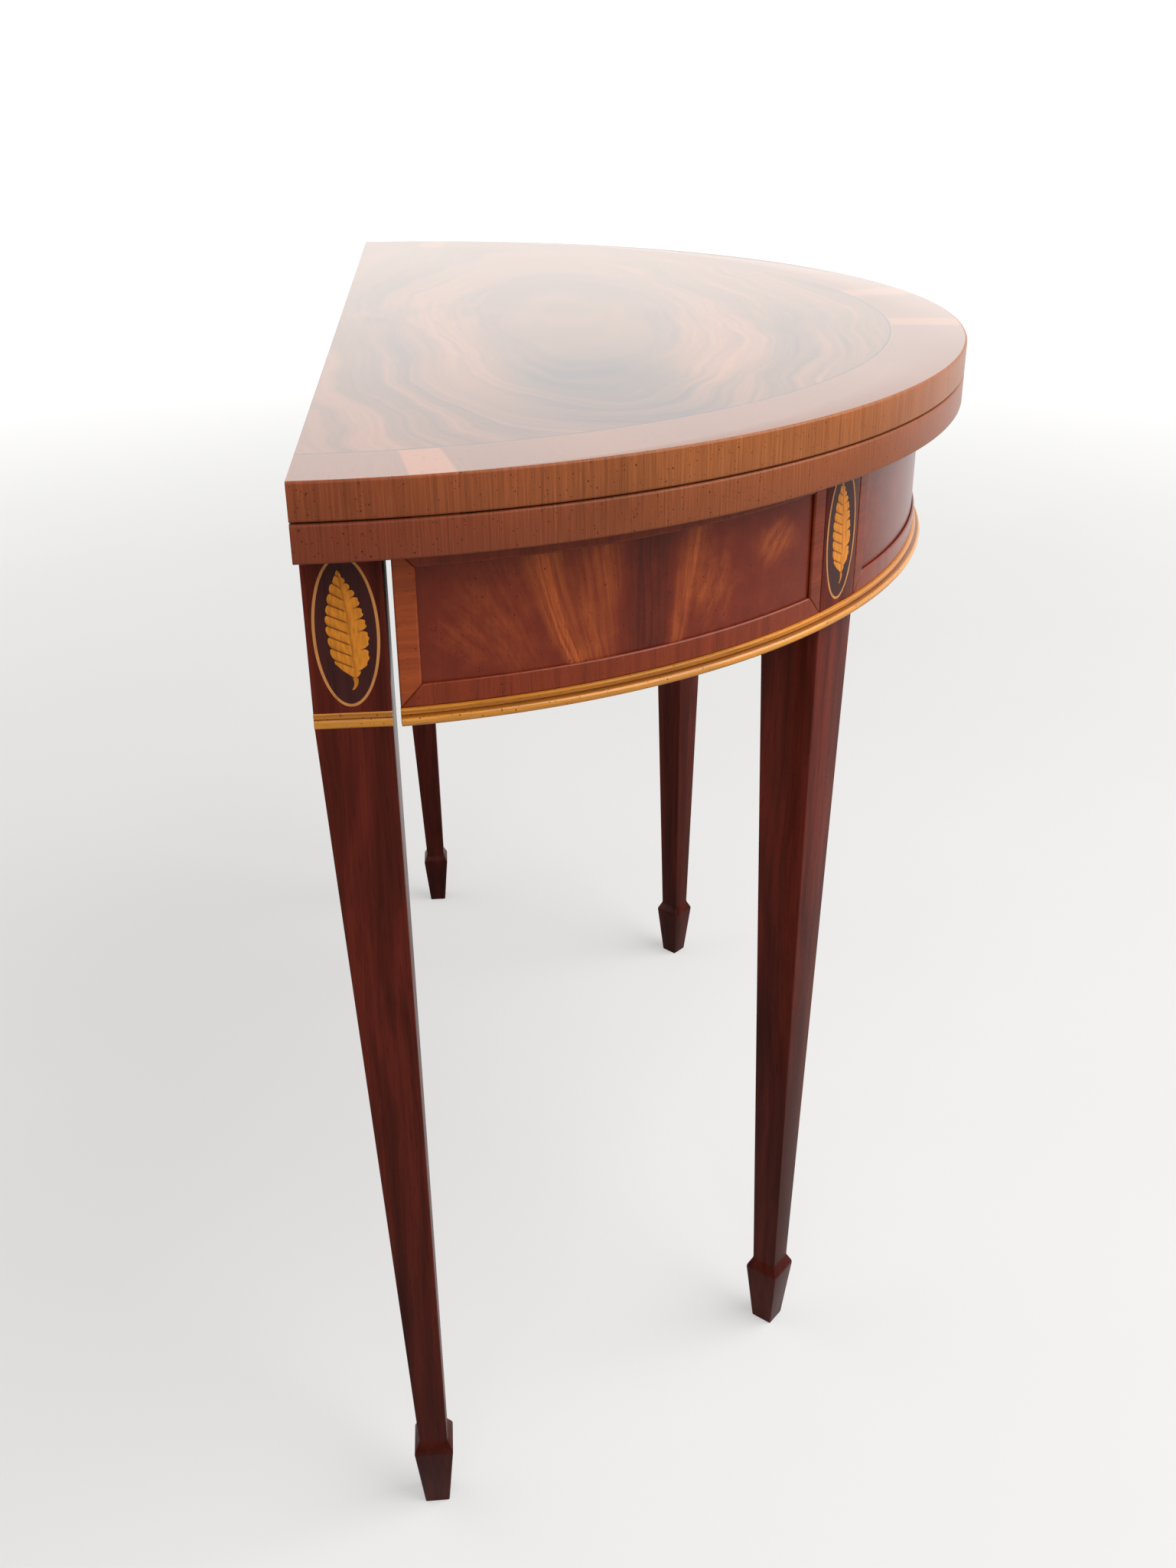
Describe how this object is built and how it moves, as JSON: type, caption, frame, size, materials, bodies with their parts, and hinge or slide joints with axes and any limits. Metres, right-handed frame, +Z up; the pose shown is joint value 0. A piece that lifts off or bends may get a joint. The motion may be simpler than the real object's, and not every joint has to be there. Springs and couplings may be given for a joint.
{
  "type": "games table",
  "caption": "Half-round fold-over games table: hinged upper leaf, curved apron, square tapered legs with spade feet, swinging fly legs that carry the opened leaf.",
  "frame": {"origin": "on the floor under the middle of the closed table's box", "axes": "+Z up, +X along the width to the right seen from the front, curved front towards -Y, flat back towards +Y"},
  "size_m": [0.914, 0.4599, 0.75],
  "materials": {
    "flame_mahogany": "french polished flame veneer",
    "crossband": "french polished crossband veneer",
    "leg_mahogany": "french polished",
    "satinwood": "polished satinwood",
    "string": "polished string line",
    "dark_ground": "polished dark veneer",
    "secondary_wood": "oiled, unpolished",
    "brass": "aged",
    "steel": "dull"
  },
  "bodies": {
    "table_frame": {"lower_leaf": "flame_mahogany", "front_apron": "flame_mahogany", "left_apron": "flame_mahogany", "right_apron": "flame_mahogany", "front_border_top": "crossband", "front_border_bottom": "crossband", "front_border_left": "crossband", "front_border_right": "crossband", "left_border_top": "crossband", "left_border_bottom": "crossband", "left_border_rear": "crossband", "left_border_fore": "crossband", "right_border_top": "crossband", "right_border_bottom": "crossband", "right_border_rear": "crossband", "right_border_fore": "crossband", "front_left_leg": "leg_mahogany", "front_right_leg": "leg_mahogany", "apron_moulding": "satinwood", "front_left_fern_inlay": "satinwood", "front_right_fern_inlay": "satinwood", "front_left_string_inlay": "string", "front_right_string_inlay": "string", "front_left_oval_ground": "dark_ground", "front_right_oval_ground": "dark_ground", "inner_back_rail": "secondary_wood", "hinge_rail": "secondary_wood", "medial_brace": "secondary_wood", "glue_blocks": "secondary_wood", "left_hinge_fixed_plate": "brass", "right_hinge_fixed_plate": "brass", "left_hinge_pin": "brass", "right_hinge_pin": "brass", "fixed_hinge_screws": "brass", "top_screws": "steel", "hinge_rail_screws": "steel", "knuckle_pin_left": "steel", "knuckle_pin_right": "steel"},
    "upper_leaf": {"upper_leaf": "flame_mahogany", "left_hinge_moving_plate": "brass", "right_hinge_moving_plate": "brass", "moving_hinge_screws": "brass"},
    "left_fly_leg": {"rear_left_leg": "leg_mahogany", "rear_left_band": "satinwood", "rear_left_string_inlay": "string", "rear_left_oval_ground": "dark_ground", "rear_left_fern_inlay": "satinwood", "fly_rail_left": "secondary_wood"},
    "right_fly_leg": {"rear_right_leg": "leg_mahogany", "rear_right_band": "satinwood", "rear_right_string_inlay": "string", "rear_right_oval_ground": "dark_ground", "rear_right_fern_inlay": "satinwood", "fly_rail_right": "secondary_wood"}
  },
  "joints": [
    {"name": "leaf_fold", "type": "hinge", "parent": "table_frame", "child": "upper_leaf", "pos_m": [0, 0.22737, 0.7291], "axis": [-1, 0, 0], "range_deg": [0, 180]},
    {"name": "left_fly_leg_swing", "type": "hinge", "parent": "table_frame", "child": "left_fly_leg", "pos_m": [-0.13, 0.20603, 0.6724], "axis": [0, 0, -1], "range_deg": [0, 80]},
    {"name": "right_fly_leg_swing", "type": "hinge", "parent": "table_frame", "child": "right_fly_leg", "pos_m": [0.13, 0.20603, 0.6724], "axis": [0, 0, 1], "range_deg": [0, 80]}
  ]
}
